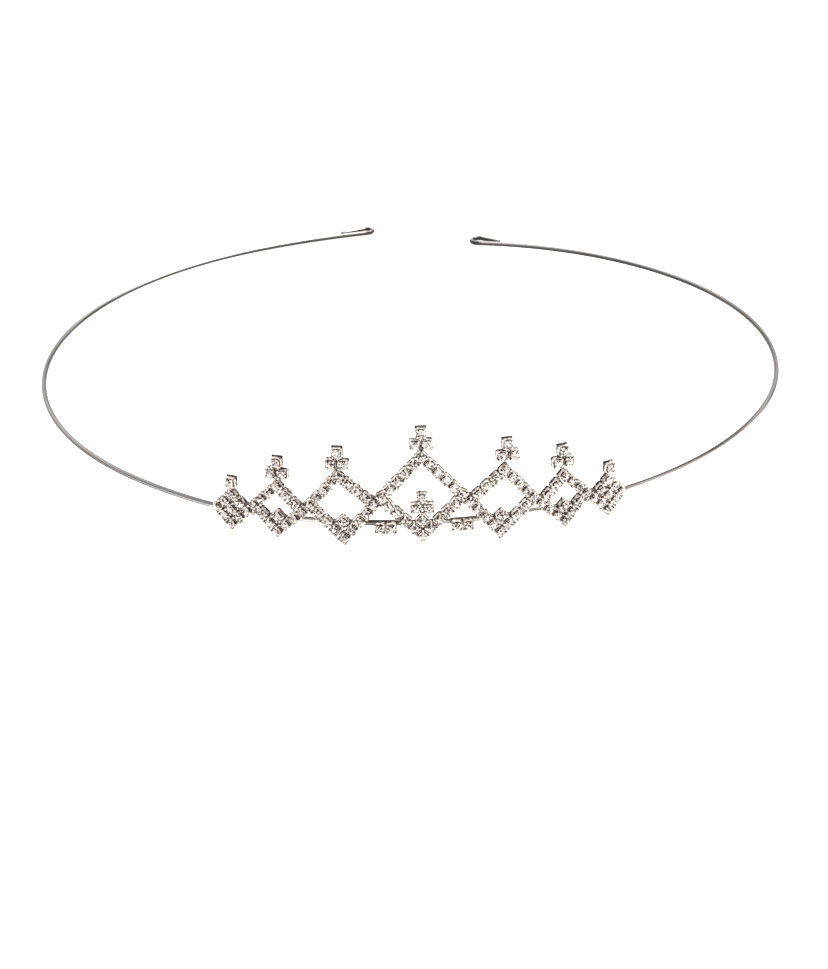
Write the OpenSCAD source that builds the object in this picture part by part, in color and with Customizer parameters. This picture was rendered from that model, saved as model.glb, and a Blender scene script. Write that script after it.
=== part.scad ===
// Rhinestone tiara: a springy round wire headband with a looped end at each side of its back
// gap, and a crown lattice of crossing cup chain soldered to its front, so band and cups are one
// frame and each stone sits loose in its cup. Units are millimetres.
// The sizes are worked out in the band's own frame: the middle of the front bend at the origin,
// the wire's centreline in the XY plane, the crown's middle towards -Y. seated() then lays the
// tiara down as it rests by itself, on two crown tips and the left end loop.

/* [Headband] */
// Bend radius of the wire behind the crown, to the wire's centreline
band_r = 80; // [78:0.5:84]
// Thickness of the round wire
wire_d = 1.1; // [0.9:0.05:1.15]
// Bend radius of the left end loop, to the wire's centreline
left_loop_r = 1.4; // [1.35:0.05:1.8]
// Straight stretch from the left loop's bend to the cut end
left_loop_tail = 6.4; // [3:0.1:6.6]
// Bend radius of the right end loop, to the wire's centreline
right_loop_r = 1.8; // [1.75:0.05:2]
// Straight stretch from the right loop's bend to the cut end
right_loop_tail = 5; // [3:0.1:5.1]

/* [Cups] */
// Outside width of a square stone cup, from side to side
cup_w = 2.1; // [2:0.02:2.12]
// Outside width of a cup from one rounded corner to the opposite one
cup_corner_d = 2.6; // [2.4:0.05:2.8]
// Depth of a cup from its back to its rim
cup_depth = 1.7; // [1.6:0.1:2.4]
// Thickness of a cup's wall in the middle of a side
cup_wall = 0.12; // [0.1:0.01:0.15]
// Thickness of a cup's floor
cup_floor = 0.5; // [0.4:0.05:0.7]
// Gap between the band and the backs of the cups, which the solder seam bridges
band_gap = 0.05; // [0.03:0.01:0.1]

/* [Solder] */
// Height of the solder seam that runs along the front of the band and holds the cups
seam_w = 0.5; // [0.4:0.05:0.6]
// How far the solder seam reaches into the floors of the cups
seam_bite = 0.3; // [0.2:0.05:0.35]
// Width of the solder bar between two neighbouring cups
bar_w = 0.8; // [0.6:0.05:1]
// How far a solder bar reaches into each cup's floor
bar_bite = 0.3; // [0.2:0.05:0.4]
// Width of the solder web above each crossing
web_w = 2.4; // [2:0.1:2.6]
// Depth of the solder web, back to front
web_depth = 1.1; // [0.8:0.1:1.5]

/* [Stones] */
// Width of a stone at its girdle
stone_d = 1.75; // [1.6:0.01:1.78]
// Width of the stone's table as a share of its girdle
table_share = 0.58; // [0.5:0.01:0.7]
// Height of the crown, from the girdle to the table
crown_h = 0.34; // [0.2:0.01:0.5]
// Thickness of the girdle
girdle_h = 0.08; // [0.05:0.01:0.12]
// Height of the pavilion, from the girdle to the point
pavilion_h = 0.85; // [0.6:0.05:1]
// Depth of the girdle's top under the cup's rim
girdle_sink = 0.1; // [0.05:0.01:0.2]

/* [Crown] */
// Pitch of the stones in the solid end diamonds
end_pitch = 2.2; // [2.18:0.01:2.3]
// Height of a finial's pair of stones above the stone that carries it
pair_rise = 2.55; // [2:0.05:2.8]
// Height of a finial's top stone above its pair
top_rise = 2.4; // [2.1:0.05:2.6]
// Half the distance between the stones of a pair
pair_half = 1.22; // [1.1:0.01:1.3]
// Distance of the two-stone link on the left from the crown's middle, along the band
left_link_s = 7.2; // [6.9:0.1:8]
// Distance of the two-stone link on the right from the crown's middle, along the band
right_link_s = 7.8; // [6.9:0.1:8]
// Height of the links above the wire's centreline
link_h = -0.45; // [-0.6:0.1:0.4]

/* [Hidden] */
$fn = 48;

// Each arm of the band, from the crown's middle to its end. Columns: bend radius, turn in degrees
RADIUS = 0;
TURN = 1;
LEFT_ARM = [
    [band_r, 30],
    [30, 6],
    [102.5, 12],
    [81.8, 106.4],
    [124.8, 13.5],
];
RIGHT_ARM = [
    [band_r, 30],
    [86.7, 35],
    [75, 103.9],
];
left_tail_turn = 12;
right_tail_turn = 25;

// Corners of the crown's diamonds, from the middle one outwards.
// Columns: azimuth of the top stone, its height, azimuth of the bottom stone, its height
TOP_AZ = 0;
TOP_H = 1;
BOTTOM_AZ = 2;
BOTTOM_H = 3;
DIAMONDS = [
    [0.0, 14.6, 0.0, -2.0],
    [11.4, 10.45, 10.7, -2.65],
    [20.0, 7.3, 20.15, -2.35],
];
// How far each diamond's finial stands from straight above its top stone.
// Columns: degrees to the outside and height, on the left side, then the same on the right side
FINIAL_LEAN = [
    [0.0, 0.1, 0.0, 0.1],
    [0.0, 0.0, 0.4, 0.5],
    [-0.1, 0.1, -0.2, 0.4],
    [0.0, 0.0, 0.25, 0.0],
];
// The solid end diamond's middle stone: azimuth, height
END_MIDDLE = [26.9, 0.95];

// Where the chains of two neighbouring diamonds cross, and how many pitches each chain has.
// Columns: azimuth, height, pitches up to the inner diamond's top stone, down to the outer
// diamond's bottom stone, up to the outer diamond's top stone
IN_UP = 2;
OUT_DOWN = 3;
OUT_UP = 4;
CROSSINGS = [
    [6.5, 4.55, 6, 4, 4],
    [16.5, 2.25, 5, 3, 3],
    [24.55, 1.0, 4, 2, 2],
];
// The strip that closes the inner diamond's lower side starts beside the crossing, a step
// further in. Columns: azimuth of its first stone, height, pitches down to the bottom stone
FOOT_DOWN = 2;
FEET = [
    [4.65, 4.4, 4],
    [14.4, 2.35, 3],
    [22.3, 1.05, 2],
];

wire_r = wire_d / 2;
// The band's bends stop short of each other by joint_gap, inside a ball just over the wire's size
joint_gap = 0.1;
joint_r = wire_r + 0.02;
// Half the angle that the solder seam spans, a little less than the band's front bend
seam_turn = LEFT_ARM[0][TURN] - 0.6;
cup_back_r = band_r + wire_r + band_gap;
face_r = cup_back_r + cup_depth;
mm_per_deg = face_r * PI / 180;
bar_t = cup_floor * 0.5;
bar_back = cup_floor * 0.44;
// Slack that a cutting shape runs past what it cuts
past = 0.2;
// Height of the inner trefoil's pair above the wire's centreline
trefoil_h = 3.8;
trefoil_top_rise = 2.15;
STONE_SIDES = 8;

// A band arm's heading at the start of row i, and the middle of that row's bend
function heading(rows, i) = i == 0 ? 0 : heading(rows, i - 1) + rows[i - 1][TURN];
function outward(h) = [sin(h), -cos(h)];
function bend_middle(rows, i) = i == 0
    ? [0, 0]
    : bend_middle(rows, i - 1)
        + (rows[i - 1][RADIUS] - rows[i][RADIUS]) * outward(heading(rows, i));
function arm_end(rows) = bend_middle(rows, len(rows) - 1)
    + rows[len(rows) - 1][RADIUS] * outward(heading(rows, len(rows)));
// The arm's greatest reach to the side, where its heading is straight back
function widest_row(rows, i = 0) = heading(rows, i + 1) > 90 ? i : widest_row(rows, i + 1);
function side_reach(rows) =
    let (i = widest_row(rows)) bend_middle(rows, i).x + rows[i][RADIUS] + wire_r;
function loop_middle(rows, loop_r) =
    arm_end(rows) + loop_r * outward(heading(rows, len(rows)));

// Stones as points: azimuth from the crown's middle, height over the wire's centreline
function top_of(i) = i < len(DIAMONDS)
    ? [DIAMONDS[i][TOP_AZ], DIAMONDS[i][TOP_H]]
    : END_MIDDLE + [0, end_pitch * sqrt(2)];
function bottom_of(i) = i < len(DIAMONDS)
    ? [DIAMONDS[i][BOTTOM_AZ], DIAMONDS[i][BOTTOM_H]]
    : END_MIDDLE - [0, end_pitch * sqrt(2)];
function crossing(i) = [CROSSINGS[i][0], CROSSINGS[i][1]];
function foot(i) = [FEET[i][0], FEET[i][1]];
// The stone above a crossing, on the chain from the inner diamond's top stone
function above_crossing(i) = crossing(i) + (top_of(i) - crossing(i)) / CROSSINGS[i][IN_UP];
function end_corner() = END_MIDDLE + [end_pitch * sqrt(2) / mm_per_deg, 0];
function flip(p) = [-p[0], p[1]];
// A place unrolled onto the crown's face, in millimetres
function flat(p) = [p[0] * mm_per_deg, p[1]];
// The stones of a chain from a to b in n pitches, both ends with it
function chain(a, b, n) = [for (i = [0:n]) a + (b - a) * i / n];
// The same without its ends
function between(a, b, n) = n < 2 ? [] : [for (i = [1:n - 1]) a + (b - a) * i / n];
// The two stones beside a diamond's bottom stone, and the one that fills the corner above it
function beside_bottom(i) = let (tip = bottom_of(i)) [
    i == 0
        ? flip(tip + (foot(0) - tip) / FEET[0][FOOT_DOWN])
        : tip + (crossing(i - 1) - tip) / CROSSINGS[i - 1][OUT_DOWN],
    tip + (foot(i) - tip) / FEET[i][FOOT_DOWN],
];
function corner_fill(i) = let (sides = beside_bottom(i)) sides[0] + sides[1] - bottom_of(i);
function pair(p) = [for (side = [-1, 1]) p + [side * pair_half / mm_per_deg, 0]];

// The chains at crossing i. Columns: first stone, last stone, pitches
function crossing_chains(i) = [
    [top_of(i), crossing(i), CROSSINGS[i][IN_UP]],
    [crossing(i), bottom_of(i + 1), CROSSINGS[i][OUT_DOWN]],
    [top_of(i + 1), crossing(i), CROSSINGS[i][OUT_UP]],
    [above_crossing(i), foot(i), 1],
    [foot(i), bottom_of(i), FEET[i][FOOT_DOWN]],
];
function all_chains() = [for (i = [0:len(CROSSINGS) - 1]) each crossing_chains(i)];

// The stones of each field, on the right side of the crown
function right_half_of_middle() = [
    each between(top_of(0), crossing(0), CROSSINGS[0][IN_UP]),
    crossing(0),
    foot(0),
    each between(foot(0), bottom_of(0), FEET[0][FOOT_DOWN]),
];
function trefoil() = [each pair([0, trefoil_h]), [0, trefoil_h + trefoil_top_rise]];
function middle_field() = [
    top_of(0),
    bottom_of(0),
    corner_fill(0),
    each right_half_of_middle(),
    for (p = right_half_of_middle()) flip(p),
    each trefoil(),
];
function open_field(i) = [
    top_of(i),
    bottom_of(i),
    corner_fill(i),
    crossing(i),
    foot(i),
    each between(top_of(i), crossing(i - 1), CROSSINGS[i - 1][OUT_UP]),
    each between(crossing(i - 1), bottom_of(i), CROSSINGS[i - 1][OUT_DOWN]),
    each between(top_of(i), crossing(i), CROSSINGS[i][IN_UP]),
    each between(foot(i), bottom_of(i), FEET[i][FOOT_DOWN]),
];
function end_field() = let (top = top_of(3), bottom = bottom_of(3), corner = end_corner()) [
    top,
    bottom,
    corner,
    END_MIDDLE,
    (top + corner) / 2,
    (bottom + corner) / 2,
    (top + crossing(2)) / 2,
    (bottom + crossing(2)) / 2,
];
function link_place(side) = side == "left" ? -left_link_s : right_link_s;
function link_points(along) = [for (k = [-1, 1])
    [(along + k * end_pitch / 2) / mm_per_deg, link_h]];

SIDES = ["left", "right"];
PLACES = ["inner", "outer"];
function at_side(p, side) = side == "left" ? flip(p) : p;
function on_side(points, side) = [for (p = points) at_side(p, side)];

// Finial of diamond i on a side: the middle of its pair, then its top stone
function lean(i, side) = let (row = FINIAL_LEAN[i])
    side == "left" ? [row[0], row[1]] : [row[2], row[3]];
function finial_foot(i, side) = top_of(i) + [0, pair_rise] + lean(i, side);
function finial_top(i, side) = finial_foot(i, side) + [0, top_rise];
function end_finial(side) = top_of(3) + [0, pair_rise] + lean(3, side);

// The single stones of the finials. Columns: node name, point
FINIAL_STONES = [
    ["finial_centre_left", pair(finial_foot(0, "right"))[0]],
    ["finial_centre_right", pair(finial_foot(0, "right"))[1]],
    ["finial_centre_top", finial_top(0, "right")],
    for (side = SIDES) each [
        for (i = [1:len(PLACES)]) let (name = str("finial_", PLACES[i - 1], "_", side)) each [
            [str(name, "_inside"), at_side(pair(finial_foot(i, side))[0], side)],
            [str(name, "_outside"), at_side(pair(finial_foot(i, side))[1], side)],
            [str(name, "_top"), at_side(finial_top(i, side), side)],
        ],
        [str("finial_end_", side), at_side(end_finial(side), side)],
    ],
];

// The stone fields. Columns: node name, points
STONE_FIELDS = [
    ["stones_centre", middle_field()],
    for (side = SIDES) each [
        for (i = [1:len(PLACES)])
            [str("stones_", PLACES[i - 1], "_", side), on_side(open_field(i), side)],
        [str("stones_end_", side), on_side(end_field(), side)],
        [str("stones_link_", side), link_points(link_place(side))],
    ],
];

CHAIN_STONES = [for (field = STONE_FIELDS) each field[1]];

// The direction from a chain's stone to its nearest neighbour, which its cup's sides follow.
// Only the trefoil's top stone, which stands on two others, has a level cup.
function steps_from(p) =
    [for (q = CHAIN_STONES) if (norm(q - p) > 0.01) flat(q) - flat(p)];
function shortest(steps) =
    let (least = min([for (step = steps) norm(step)]))
        [for (step = steps) if (norm(step) == least) step][0];
function cup_turn(p) = p == trefoil()[2]
    ? 0
    : let (step = shortest(steps_from(p))) atan2(step[1], step[0]);

// Every stone and how its cup is turned; the cups of the finials are level. Columns: point, turn
ALL_CUPS = [
    for (p = CHAIN_STONES) [p, cup_turn(p)],
    for (single = FINIAL_STONES) [single[1], 0],
];

// How the tiara rests: on the bottom stones of the two inner diamonds and on the left end loop
rest_drop = cup_corner_d / 2 - DIAMONDS[1][BOTTOM_H] - wire_r;
rest_span = cup_back_r * cos(DIAMONDS[1][BOTTOM_AZ]) + loop_middle(LEFT_ARM, left_loop_r).y
    + left_loop_r;
rest_tilt = asin(rest_drop / rest_span);
back_reach = loop_middle(LEFT_ARM, left_loop_r).y + left_loop_r + wire_r;
front_reach = face_r + crown_h - girdle_sink;
side_shift = (side_reach(RIGHT_ARM) - side_reach(LEFT_ARM)) / 2;
back_shift = (back_reach - front_reach) / 2;
rest_lift = (back_reach - wire_r) * sin(rest_tilt) + wire_r * cos(rest_tilt);

module seated() {
    translate([-side_shift, -back_shift, rest_lift])
        rotate([-rest_tilt, 0, 0])
            children();
}

// Puts a cup or stone at a point of the crown, its axis straight out of the band
module at_point(p) {
    rotate([0, 0, p[0]])
        translate([0, -cup_back_r, p[1]])
            rotate([90, 0, 0])
                children();
}

// A bend of the wire, from the heading start through turn; sign is 1 on the right side and -1
// on the left. Its circle begins on the inner side of the bend, away from the cups.
module wire_bend(middle, r, start, turn, sign) {
    slack = asin(joint_gap / 2 / r);
    translate([sign * middle.x, middle.y, 0])
        rotate([0, 0, (sign > 0 ? start : 180 - start - turn) + slack])
            rotate_extrude(angle = turn - 2 * slack)
                translate([r, 0])
                    rotate(180)
                        circle(r = wire_r);
}

// Turns a shape's axis along the wire, at a point of an arm where the wire has that heading
module along_wire(p, heading, sign) {
    translate([sign * p.x, p.y, 0])
        rotate([0, 0, sign > 0 ? heading : 180 - heading])
            rotate([0, 90, 0])
                children();
}

module wire_joint(p, heading, sign) {
    along_wire(p, heading, sign)
        sphere(r = joint_r);
}

// The bends of an arm behind the crown's
module arm(rows, sign) {
    for (i = [1:len(rows) - 1]) {
        wire_bend(bend_middle(rows, i), rows[i][RADIUS], heading(rows, i) - 90, rows[i][TURN],
            sign);
        wire_joint(bend_middle(rows, i) + rows[i][RADIUS] * outward(heading(rows, i)),
            heading(rows, i), sign);
    }
    wire_joint(arm_end(rows), heading(rows, len(rows)), sign);
}

module end_loop(rows, loop_r, tail, tail_turn, sign) {
    middle = loop_middle(rows, loop_r);
    last = heading(rows, len(rows)) - 90 - tail_turn;
    tail_start = middle + loop_r * [cos(last), sin(last)];
    wire_bend(middle, loop_r, last, 180 + tail_turn, sign);
    wire_joint(tail_start, last - 90, sign);
    along_wire(tail_start, last - 90, sign)
        translate([0, 0, joint_gap / 2])
            cylinder(r = wire_r, h = tail);
}

module band() {
    wire_bend([0, 0], band_r, -90 - LEFT_ARM[0][TURN], LEFT_ARM[0][TURN] + RIGHT_ARM[0][TURN], 1);
    arm(RIGHT_ARM, 1);
    end_loop(RIGHT_ARM, right_loop_r, right_loop_tail, right_tail_turn, 1);
    arm(LEFT_ARM, -1);
    end_loop(LEFT_ARM, left_loop_r, left_loop_tail, left_tail_turn, -1);
}

// The flat seam of solder between the wire's front and the floors of the cups
module solder_seam() {
    rotate([0, 0, -90 - seam_turn])
        rotate_extrude(angle = 2 * seam_turn)
            translate([band_r, -seam_w / 2])
                square([cup_back_r + seam_bite - band_r, seam_w]);
}

module cup() {
    intersection() {
        cylinder(d = cup_corner_d, h = cup_depth);
        translate([-cup_w / 2, -cup_w / 2, 0])
            cube([cup_w, cup_w, cup_depth]);
    }
}

module cup_bore() {
    translate([0, 0, cup_floor])
        cylinder(d = cup_w - 2 * cup_wall, h = cup_depth);
}

// A solder bar from cup to cup, inside the thickness of their floors
module solder_bar(a, b) {
    step = flat(b) - flat(a);
    length = norm(step) - cup_w + 2 * bar_bite;
    at_point((a + b) / 2)
        rotate([0, 0, atan2(step[1], step[0])])
            translate([-length / 2, -bar_w / 2, bar_back])
                cube([length, bar_w, bar_t]);
}

module chain_bars(points) {
    for (i = [0:len(points) - 2])
        solder_bar(points[i], points[i + 1]);
}

// The hollowed web of solder that fills the top of a crossing
module solder_web(p) {
    at_point(p)
        difference() {
            translate([-web_w / 2, cup_w / 4, cup_floor])
                cube([web_w, cup_w / 2, web_depth]);
            translate([0, cup_w / 2 + web_w * 0.55, cup_floor - past])
                cylinder(d = web_w * 1.25, h = web_depth + 2 * past);
        }
}

module trefoil_bars(carrier, stones, top) {
    chain_bars(stones);
    for (stone = stones) {
        solder_bar(carrier, stone);
        solder_bar(stone, top);
    }
}

// Ties the stone that fills a diamond's bottom corner to the two beside the bottom stone
module corner_bars(i, side) {
    for (stone = beside_bottom(i))
        solder_bar(at_side(corner_fill(i), side), at_side(stone, side));
}

module end_bars(side) {
    top = top_of(3);
    bottom = bottom_of(3);
    corner = end_corner();
    chain_bars(on_side(chain(top, corner, 2), side));
    chain_bars(on_side(chain(corner, bottom, 2), side));
    for (p = [top, bottom])
        for (q = [corner, crossing(2)])
            solder_bar(at_side(END_MIDDLE, side), at_side((p + q) / 2, side));
    solder_bar(at_side(top, side), at_side(end_finial(side), side));
}

module side_bars(side) {
    for (run = all_chains())
        chain_bars(on_side(chain(run[0], run[1], run[2]), side));
    for (i = [1:len(PLACES)]) {
        corner_bars(i, side);
        trefoil_bars(at_side(top_of(i), side), on_side(pair(finial_foot(i, side)), side),
            at_side(finial_top(i, side), side));
    }
    for (i = [0:len(CROSSINGS) - 1])
        solder_web(at_side(crossing(i), side));
    end_bars(side);
    chain_bars(link_points(link_place(side)));
}

module lattice_bars() {
    for (side = SIDES)
        side_bars(side);
    corner_bars(0, "right");
    trefoil_bars(top_of(0), pair(finial_foot(0, "right")), finial_top(0, "right"));
    trefoil_bars(corner_fill(0), pair([0, trefoil_h]), trefoil()[2]);
}

module frame() {
    color("silver")
        seated()
            difference() {
                union() {
                    band();
                    solder_seam();
                    lattice_bars();
                    for (one = ALL_CUPS)
                        at_point(one[0])
                            rotate([0, 0, one[1]])
                                cup();
                }
                for (one = ALL_CUPS)
                    at_point(one[0])
                        cup_bore();
            }
}

// A cut stone on its axis: a point, a thin girdle, eight and eight crown facets and a table
module stone() {
    r = stone_d / 2;
    low = cup_depth - girdle_sink - girdle_h;
    step = 360 / STONE_SIDES;
    last = STONE_SIDES - 1;
    points = [
        [0, 0, low - pavilion_h],
        for (i = [0:last]) [r * cos(i * step), r * sin(i * step), low],
        for (i = [0:last]) [r * cos(i * step), r * sin(i * step), low + girdle_h],
        for (i = [0:last]) [
            r * table_share * cos((i + 0.5) * step),
            r * table_share * sin((i + 0.5) * step),
            low + girdle_h + crown_h,
        ],
    ];
    bottom = 1;
    top = bottom + STONE_SIDES;
    table = top + STONE_SIDES;
    faces = [
        for (i = [0:last]) let (j = (i + 1) % STONE_SIDES) each [
            [0, bottom + i, bottom + j],
            [bottom + i, top + i, top + j, bottom + j],
            [top + i, table + i, top + j],
            [table + i, table + j, top + j],
        ],
        [for (i = [last:-1:0]) table + i],
    ];
    polyhedron(points = points, faces = faces);
}

module stones(points) {
    color("aliceblue")
        seated()
            for (p = points)
                at_point(p)
                    stone();
}

frame();
for (field = STONE_FIELDS)
    stones(field[1]);
for (single = FINIAL_STONES)
    stones([single[1]]);
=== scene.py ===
"""Rhinestone tiara: a springy round wire headband that carries a low crown of cup chain."""

import math

import bmesh
import bpy
from mathutils import Matrix, Vector


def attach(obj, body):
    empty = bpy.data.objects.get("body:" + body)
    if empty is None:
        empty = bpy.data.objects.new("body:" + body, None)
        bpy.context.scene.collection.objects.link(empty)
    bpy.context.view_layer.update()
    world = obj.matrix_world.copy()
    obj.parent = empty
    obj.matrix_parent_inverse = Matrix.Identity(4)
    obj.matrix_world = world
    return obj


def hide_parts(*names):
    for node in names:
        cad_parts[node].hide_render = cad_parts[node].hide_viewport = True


bl_info = {
    "name": "Rhinestone tiara",
    "version": (1, 0, 0),
    "blender": (4, 5, 0),
    "location": "3D View > Sidebar > Tiara",
    "description": "Builds a wire tiara with cup chain, solder and cut stones on its CAD frame",
    "category": "Add Mesh",
}

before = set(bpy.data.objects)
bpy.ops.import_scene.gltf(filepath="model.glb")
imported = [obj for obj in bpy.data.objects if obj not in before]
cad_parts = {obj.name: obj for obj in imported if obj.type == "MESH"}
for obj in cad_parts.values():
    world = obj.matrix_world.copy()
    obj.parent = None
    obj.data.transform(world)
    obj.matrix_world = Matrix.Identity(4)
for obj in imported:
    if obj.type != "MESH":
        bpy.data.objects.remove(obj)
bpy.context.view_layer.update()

MM = 0.001

# Sizes that the CAD part gives, in millimetres and degrees

# The band's own frame has the centre of the front bend at its origin and the wire's centreline
# in its XY plane
BAND_R = 80.0
WIRE_R = 0.55
# Gap between the wire and the backs of the cups
BAND_GAP = 0.05
# Each arm of the band, from the crown's middle to its end: bend radius, turn in degrees
LEFT_ARM = [(BAND_R, 30), (30, 6), (102.5, 12), (81.8, 106.4), (124.8, 13.5)]
RIGHT_ARM = [(BAND_R, 30), (86.7, 35), (75, 103.9)]
# Each end loop: bend radius, straight tail, turn past the half circle
LEFT_LOOP = (1.4, 6.4, 12)
RIGHT_LOOP = (1.8, 5.0, 25)

# Half the width of a square cup, and its reach to a rounded corner
CUP_HALF = 1.05
CUP_CORNER = 1.3
# Depth of a cup from its back to its rim, radius of its bore, thickness of its floor
CUP_DEPTH = 1.7
CUP_BORE = 0.93
CUP_FLOOR = 0.5
# Radius on which the cups' backs lie, and that of the crown's face
CUP_BACK_R = BAND_R + WIRE_R + BAND_GAP
FACE_R = CUP_BACK_R + CUP_DEPTH
MM_PER_DEG = FACE_R * math.pi / 180
# How deep a stone's girdle lies under the rim, its thickness, and the stone's depth below it
GIRDLE_SINK = 0.1
GIRDLE = 0.08
PAVILION = 0.85

# Corners of the diamonds: azimuth and height of the top stone, then of the bottom stone
DIAMONDS = [(0.0, 14.6, 0.0, -2.0), (11.4, 10.45, 10.7, -2.65), (20.0, 7.3, 20.15, -2.35)]
# Each finial's lean to the outside in degrees and its lift, on the left and on the right
FINIAL_LEAN = [
    (0.0, 0.1, 0.0, 0.1),
    (0.0, 0.0, 0.4, 0.5),
    (-0.1, 0.1, -0.2, 0.4),
    (0.0, 0.0, 0.25, 0.0),
]
# Solid end diamonds: azimuth and height of the middle stone, pitch, reach to a corner stone
END_MIDDLE = Vector((26.9, 0.95))
END_PITCH = 2.2
END_REACH = END_PITCH * 2**0.5
# Crossings: azimuth, height, pitches up to the inner top, down to the outer bottom, up to the
# outer top
CROSSINGS = [(6.5, 4.55, 6, 4, 4), (16.5, 2.25, 5, 3, 3), (24.55, 1.0, 4, 2, 2)]
# Lower strips: azimuth and height of the first stone, pitches down to the bottom stone
FEET = [(4.65, 4.4, 4), (14.4, 2.35, 3), (22.3, 1.05, 2)]
# Finials: rise of the pair over the diamond's top stone, rise of the top stone over the pair,
# and half the distance between the pair's stones
PAIR_RISE = 2.55
TOP_RISE = 2.4
PAIR_HALF = 1.22
# The trefoil in the middle diamond: height of its pair, rise of its top stone
TREFOIL_H = 3.8
TREFOIL_TOP_RISE = 2.15
# Links: the middle's place along the band, and its height
LINK_ALONG = {"left": -7.2, "right": 7.8}
LINK_H = -0.45

# Cups whose stones are nearer than this are joined by a bar of solder
SOLDER_REACH = 2.75

# How the CAD part lays the tiara down: on two crown tips and the left end loop
REST_TILT = math.radians(1.16856)
SEAT = Matrix.Translation(Vector((-1.34257, -2.76445, 2.33473)) * MM) @ Matrix.Rotation(
    -REST_TILT, 4, "X"
)

# Forms that only the scene draws, in millimetres

# Blobs of solder: how far they lie in front of the cups' backs, then their half width and half
# thickness. A bar also runs into both its cups; a fillet has its half length too, and stays
# near the wire's height
BAR_OUT, BAR_INTO, BAR_HALVES = 0.24, 0.45, (0.42, 0.2)
STEM_OUT, STEM_HALVES = 0.35, (0.35, 0.3)
FILLET_OUT, FILLET_RISE, FILLET_HALVES = -0.06, 0.25, (0.8, 0.34, 0.3)
# The lip on a finial's top cup: height, depth from back to front, rounding of its edges
LIP_HEIGHT, LIP_DEPTH, LIP_ROUND = 0.26, 0.44, 0.06
# The web above a crossing: how far its foot sinks into the cup below, rounding of its edges
WEB_SINK, WEB_ROUND = 0.2, 0.07
# How far the cups' walls stay below the full depth of the cup, which the prongs pass
RIM_DROP = 0.1
# Painted light level of the prongs, from -1 for deep painted shade to 1 for bright
PRONG_LIGHT_LEVEL = 0.3
# Where the points of a stone's star facets lie, as a share of its radius
STAR_SHARE = 0.78
# Turn of the path between two points of an end loop's bend, in degrees
LOOP_STEP = 6
# How the wire's cut ends are rounded off: girth at the last points, as a share
CUT_END = (1.0, 0.93, 0.8, 0.6)
# Points along a loop's tail: a share of its length, less that many millimetres
TAIL_STOPS = [(0, 0), (0.4, 0), (0.8, 0), (1, 0.16), (1, 0.07), (1, 0.02), (1, 0)]
# The width of a patch of tarnish on the cups and of a grain of solder
TARNISH_WIDTH = 0.4
SOLDER_GRAIN = 0.2
# Painted flashes of the stones' back facets, about 0.3 mm wide, and clouds in the table, 1.1 mm
# wide
FLASHES_PER_METRE = 3300.0
CLOUDS_PER_METRE = 900.0
# Drawing lines: units per metre along the wire, and the radius of the ring around it in units
DRAWN_SCALE = (125.0, 4.4, 4.4)

# Painted shade on the tight bend at each end and on the tail after it, which makes the wire darker
# there
BEND_PAINTED_SHADE = 0.45
TAIL_PAINTED_SHADE = 0.2
# The wire's painted light along an arm: azimuth from the crown's middle in degrees, how far the
# side with the painted highlight leans outwards from straight up in degrees, painted shade as a
# share
LEFT_PAINTED_LIGHT = [
    (0, 80, 0.65),
    (9, 80, 0.65),
    (11, 80, 0.2),
    (26, 80, 0.3),
    (32, 60, 0.35),
    (60, 30, 0.45),
    (95, 0, 0.65),
    (108, -25, 0.5),
    (118, -10, 0.3),
    (128, 0, 0.0),
    (140, 0, -0.1),
    (180, 0, -0.1),
]
RIGHT_PAINTED_LIGHT = [
    (0, 80, 0.65),
    (4, 80, 0.4),
    (9, 80, 0.4),
    (11, 80, 0.15),
    (19, 85, 0.15),
    (24, 95, 0.35),
    (50, 90, 0.3),
    (62, 60, 0.35),
    (72, 10, 0.55),
    (95, 0, 0.65),
    (110, -25, 0.55),
    (125, -20, 0.35),
    (140, 0, 0.0),
    (155, 0, -0.1),
    (180, 0, -0.1),
]

# Studio, in metres

# Half the width of the table, and the soft key light's place and width
TABLE_HALF = 3.0
KEY_PLACE = (0.55, 0.1, 0.8)
KEY_SIZE = 0.5
# The room's bright patches: setting, direction to the middle, cosine where it fades out
BRIGHT_PATCHES = [
    ("overhead", (0.0, -0.3, 0.95), 0.75),
    ("side_window", (0.95, -0.15, 0.3), 0.8),
    ("left_card", (-0.9, 0.3, 0.3), 0.4),
    ("back_card", (0.0, 0.9, 0.4), 0.4),
    ("front_card", (0.0, -1.0, 0.2), 0.6),
]
# The photograph's camera in the band's own frame: heading, tilt and roll in degrees, place in
# millimetres, and the width of its sensor in millimetres
CAMERA_ANGLES = (2.186, -25.626, -1.247)
CAMERA_PLACE = (-18.044, -514.979, 216.894)
SENSOR_WIDTH = 36


# Places of the stones, as azimuth from the crown's middle and height over the wire


def top_of(i):
    """The top stone of diamond i, where 3 is the solid end diamond."""
    return Vector(DIAMONDS[i][:2]) if i < 3 else END_MIDDLE + Vector((0, END_REACH))


def bottom_of(i):
    """The bottom stone of diamond i."""
    return Vector(DIAMONDS[i][2:]) if i < 3 else END_MIDDLE - Vector((0, END_REACH))


def crossing(i):
    """The stone that two neighbouring diamonds share."""
    return Vector(CROSSINGS[i][:2])


def foot(i):
    """The first stone of the strip that closes a diamond's lower side."""
    return Vector(FEET[i][:2])


def flip(point):
    """The same place on the other side of the crown."""
    return Vector((-point.x, point.y))


# How a place drawn on the right side gets to each side
SIDES = {"left": flip, "right": Vector}


def between(a, b, pitches):
    """The stones from a to b without the two ends."""
    return [a + (b - a) * k / pitches for k in range(1, pitches)]


def beside_bottom(i):
    """The two stones beside a diamond's bottom stone."""
    tip = bottom_of(i)
    outer = tip + (foot(i) - tip) / FEET[i][2]
    if i == 0:
        return [flip(outer), outer]
    return [tip + (crossing(i - 1) - tip) / CROSSINGS[i - 1][3], outer]


def corner_fill(i):
    """The stone that fills the corner above a diamond's bottom stone."""
    sides = beside_bottom(i)
    return sides[0] + sides[1] - bottom_of(i)


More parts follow.
